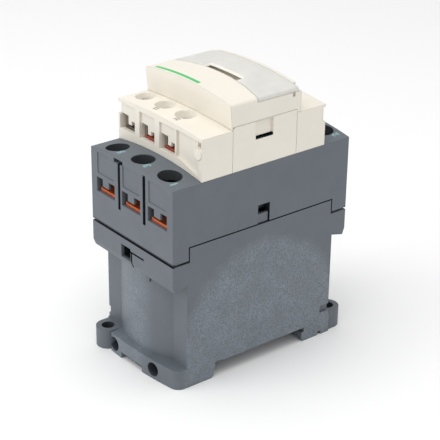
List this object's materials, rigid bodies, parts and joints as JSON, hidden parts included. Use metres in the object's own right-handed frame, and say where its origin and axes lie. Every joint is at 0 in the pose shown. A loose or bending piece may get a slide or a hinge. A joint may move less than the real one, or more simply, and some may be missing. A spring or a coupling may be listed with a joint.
{
  "type": "din rail contactor",
  "caption": "Rail-mounted electromagnetic contactor with a stepped dark and cream housing, screw terminals at both ends and a clear front cover.",
  "frame": {"origin": "centre of the rear mounting plane, midway between the two mounting holes", "axes": "+Z from the mounting plane to the front face, -Y towards the line terminals, +X towards the first pole"},
  "size_m": [0.045, 0.0784, 0.0979],
  "materials": {
    "slate_plastic": "fine grained",
    "cream_plastic": "satin moulded",
    "clear_plastic": "frosted clear",
    "spring_steel": "drawn wire",
    "magnet_iron": "ground",
    "bobbin_plastic": "natural nylon",
    "enamelled_wire": "varnished winding",
    "carrier_plastic": "satin moulded",
    "contact_copper": "bright copper",
    "copper_plate": "plated",
    "red_plate": "plated dark red",
    "zinc_steel": "zinc plated"
  },
  "bodies": {
    "housing": {"base_housing": "slate_plastic", "contact_block_housing": "slate_plastic", "line_control_block": "cream_plastic", "load_control_block": "cream_plastic", "centre_cover": "cream_plastic", "front_fascia": "cream_plastic", "magnet_frame": "magnet_iron", "pole_plate": "magnet_iron", "coil_bobbin": "bobbin_plastic", "coil_winding": "enamelled_wire", "return_spring": "spring_steel", "rail_latch_spring": "spring_steel", "fixed_contact_line_1": "contact_copper", "fixed_contact_line_2": "contact_copper", "fixed_contact_line_3": "contact_copper", "fixed_contact_load_1": "contact_copper", "fixed_contact_load_2": "contact_copper", "fixed_contact_load_3": "contact_copper", "aux_leaf_open_line": "contact_copper", "aux_leaf_open_load": "contact_copper", "aux_leaf_closed_line": "contact_copper", "aux_leaf_closed_load": "contact_copper", "coil_lead_line": "contact_copper", "coil_lead_load": "contact_copper"},
    "cover": {"clear_cover": "clear_plastic"},
    "latch": {"rail_latch": "slate_plastic"},
    "carrier": {"contact_carrier": "carrier_plastic", "moving_core": "magnet_iron", "aux_bridge_open": "contact_copper", "aux_bridge_closed": "contact_copper", "contact_spring_1": "spring_steel", "contact_spring_2": "spring_steel", "contact_spring_3": "spring_steel"},
    "bridge_1": {"contact_bridge_1": "contact_copper"},
    "bridge_2": {"contact_bridge_2": "contact_copper"},
    "bridge_3": {"contact_bridge_3": "contact_copper"},
    "power_screw_line_1": {"power_screw_line_1": "zinc_steel"},
    "power_clamp_line_1": {"power_clamp_line_1": "copper_plate"},
    "control_screw_line_1": {"control_screw_line_1": "zinc_steel"},
    "control_clamp_line_1": {"control_clamp_line_1": "red_plate"},
    "power_screw_line_2": {"power_screw_line_2": "zinc_steel"},
    "power_clamp_line_2": {"power_clamp_line_2": "copper_plate"},
    "control_screw_line_2": {"control_screw_line_2": "zinc_steel"},
    "control_clamp_line_2": {"control_clamp_line_2": "red_plate"},
    "power_screw_line_3": {"power_screw_line_3": "zinc_steel"},
    "power_clamp_line_3": {"power_clamp_line_3": "copper_plate"},
    "control_screw_line_3": {"control_screw_line_3": "zinc_steel"},
    "control_clamp_line_3": {"control_clamp_line_3": "red_plate"},
    "power_screw_load_1": {"power_screw_load_1": "zinc_steel"},
    "power_clamp_load_1": {"power_clamp_load_1": "copper_plate"},
    "control_screw_load_1": {"control_screw_load_1": "zinc_steel"},
    "control_clamp_load_1": {"control_clamp_load_1": "red_plate"},
    "power_screw_load_2": {"power_screw_load_2": "zinc_steel"},
    "power_clamp_load_2": {"power_clamp_load_2": "copper_plate"},
    "control_screw_load_2": {"control_screw_load_2": "zinc_steel"},
    "control_clamp_load_2": {"control_clamp_load_2": "red_plate"},
    "power_screw_load_3": {"power_screw_load_3": "zinc_steel"},
    "power_clamp_load_3": {"power_clamp_load_3": "copper_plate"},
    "control_screw_load_3": {"control_screw_load_3": "zinc_steel"},
    "control_clamp_load_3": {"control_clamp_load_3": "red_plate"}
  },
  "joints": [
    {"name": "contactor_close", "type": "slide", "parent": "housing", "child": "carrier", "axis": [0, 0, -1], "range_m": [0, 0.0035], "stiffness_N_per_m": 400, "springref_m": -0.0075, "deforming": ["return_spring"]},
    {"name": "cover_lift", "type": "slide", "parent": "housing", "child": "cover", "axis": [0, 0, 1], "range_m": [0, 0.012]},
    {"name": "latch_release", "type": "slide", "parent": "housing", "child": "latch", "axis": [0, -1, 0], "range_m": [0, 0.003], "stiffness_N_per_m": 500, "springref_m": -0.004, "deforming": ["rail_latch_spring"]},
    {"name": "bridge_float_1", "type": "slide", "parent": "carrier", "child": "bridge_1", "axis": [0, 0, 1], "range_m": [0, 0.001], "stiffness_N_per_m": 800, "springref_m": -0.002, "deforming": ["contact_spring_1"]},
    {"name": "bridge_float_2", "type": "slide", "parent": "carrier", "child": "bridge_2", "axis": [0, 0, 1], "range_m": [0, 0.001], "stiffness_N_per_m": 800, "springref_m": -0.002, "deforming": ["contact_spring_2"]},
    {"name": "bridge_float_3", "type": "slide", "parent": "carrier", "child": "bridge_3", "axis": [0, 0, 1], "range_m": [0, 0.001], "stiffness_N_per_m": 800, "springref_m": -0.002, "deforming": ["contact_spring_3"]},
    {"name": "turn_power_line_1", "type": "hinge", "parent": "housing", "child": "power_screw_line_1", "pos_m": [0.0143, -0.0318, 0.067], "axis": [0, 0, -1], "range_deg": [0, 1440]},
    {"name": "lift_power_line_1", "type": "slide", "parent": "housing", "child": "power_clamp_line_1", "axis": [0, 0, 1], "range_m": [0, 0.0024]},
    {"name": "turn_control_line_1", "type": "hinge", "parent": "housing", "child": "control_screw_line_1", "pos_m": [-0.0174, -0.0182, 0.084], "axis": [0, 0, -1], "range_deg": [0, 1152]},
    {"name": "lift_control_line_1", "type": "slide", "parent": "housing", "child": "control_clamp_line_1", "axis": [0, 0, 1], "range_m": [0, 0.0016]},
    {"name": "turn_power_line_2", "type": "hinge", "parent": "housing", "child": "power_screw_line_2", "pos_m": [0, -0.0318, 0.067], "axis": [0, 0, -1], "range_deg": [0, 1440]},
    {"name": "lift_power_line_2", "type": "slide", "parent": "housing", "child": "power_clamp_line_2", "axis": [0, 0, 1], "range_m": [0, 0.0024]},
    {"name": "turn_control_line_2", "type": "hinge", "parent": "housing", "child": "control_screw_line_2", "pos_m": [-0.0065, -0.0182, 0.084], "axis": [0, 0, -1], "range_deg": [0, 1152]},
    {"name": "lift_control_line_2", "type": "slide", "parent": "housing", "child": "control_clamp_line_2", "axis": [0, 0, 1], "range_m": [0, 0.0016]},
    {"name": "turn_power_line_3", "type": "hinge", "parent": "housing", "child": "power_screw_line_3", "pos_m": [-0.0143, -0.0318, 0.067], "axis": [0, 0, -1], "range_deg": [0, 1440]},
    {"name": "lift_power_line_3", "type": "slide", "parent": "housing", "child": "power_clamp_line_3", "axis": [0, 0, 1], "range_m": [0, 0.0024]},
    {"name": "turn_control_line_3", "type": "hinge", "parent": "housing", "child": "control_screw_line_3", "pos_m": [0.0044, -0.0182, 0.084], "axis": [0, 0, -1], "range_deg": [0, 1152]},
    {"name": "lift_control_line_3", "type": "slide", "parent": "housing", "child": "control_clamp_line_3", "axis": [0, 0, 1], "range_m": [0, 0.0016]},
    {"name": "turn_power_load_1", "type": "hinge", "parent": "housing", "child": "power_screw_load_1", "pos_m": [0.0143, 0.0318, 0.067], "axis": [0, 0, -1], "range_deg": [0, 1440]},
    {"name": "lift_power_load_1", "type": "slide", "parent": "housing", "child": "power_clamp_load_1", "axis": [0, 0, 1], "range_m": [0, 0.0024]},
    {"name": "turn_control_load_1", "type": "hinge", "parent": "housing", "child": "control_screw_load_1", "pos_m": [-0.0174, 0.0182, 0.084], "axis": [0, 0, -1], "range_deg": [0, 1152]},
    {"name": "lift_control_load_1", "type": "slide", "parent": "housing", "child": "control_clamp_load_1", "axis": [0, 0, 1], "range_m": [0, 0.0016]},
    {"name": "turn_power_load_2", "type": "hinge", "parent": "housing", "child": "power_screw_load_2", "pos_m": [0, 0.0318, 0.067], "axis": [0, 0, -1], "range_deg": [0, 1440]},
    {"name": "lift_power_load_2", "type": "slide", "parent": "housing", "child": "power_clamp_load_2", "axis": [0, 0, 1], "range_m": [0, 0.0024]},
    {"name": "turn_control_load_2", "type": "hinge", "parent": "housing", "child": "control_screw_load_2", "pos_m": [-0.0065, 0.0182, 0.084], "axis": [0, 0, -1], "range_deg": [0, 1152]},
    {"name": "lift_control_load_2", "type": "slide", "parent": "housing", "child": "control_clamp_load_2", "axis": [0, 0, 1], "range_m": [0, 0.0016]},
    {"name": "turn_power_load_3", "type": "hinge", "parent": "housing", "child": "power_screw_load_3", "pos_m": [-0.0143, 0.0318, 0.067], "axis": [0, 0, -1], "range_deg": [0, 1440]},
    {"name": "lift_power_load_3", "type": "slide", "parent": "housing", "child": "power_clamp_load_3", "axis": [0, 0, 1], "range_m": [0, 0.0024]},
    {"name": "turn_control_load_3", "type": "hinge", "parent": "housing", "child": "control_screw_load_3", "pos_m": [0.0044, 0.0182, 0.084], "axis": [0, 0, -1], "range_deg": [0, 1152]},
    {"name": "lift_control_load_3", "type": "slide", "parent": "housing", "child": "control_clamp_load_3", "axis": [0, 0, 1], "range_m": [0, 0.0016]}
  ],
  "couplings": [
    {"joint": "turn_power_line_1", "follows": "lift_power_line_1", "rad_per_m": 10472},
    {"joint": "turn_control_line_1", "follows": "lift_control_line_1", "rad_per_m": 12566},
    {"joint": "turn_power_line_2", "follows": "lift_power_line_2", "rad_per_m": 10472},
    {"joint": "turn_control_line_2", "follows": "lift_control_line_2", "rad_per_m": 12566},
    {"joint": "turn_power_line_3", "follows": "lift_power_line_3", "rad_per_m": 10472},
    {"joint": "turn_control_line_3", "follows": "lift_control_line_3", "rad_per_m": 12566},
    {"joint": "turn_power_load_1", "follows": "lift_power_load_1", "rad_per_m": 10472},
    {"joint": "turn_control_load_1", "follows": "lift_control_load_1", "rad_per_m": 12566},
    {"joint": "turn_power_load_2", "follows": "lift_power_load_2", "rad_per_m": 10472},
    {"joint": "turn_control_load_2", "follows": "lift_control_load_2", "rad_per_m": 12566},
    {"joint": "turn_power_load_3", "follows": "lift_power_load_3", "rad_per_m": 10472},
    {"joint": "turn_control_load_3", "follows": "lift_control_load_3", "rad_per_m": 12566}
  ]
}
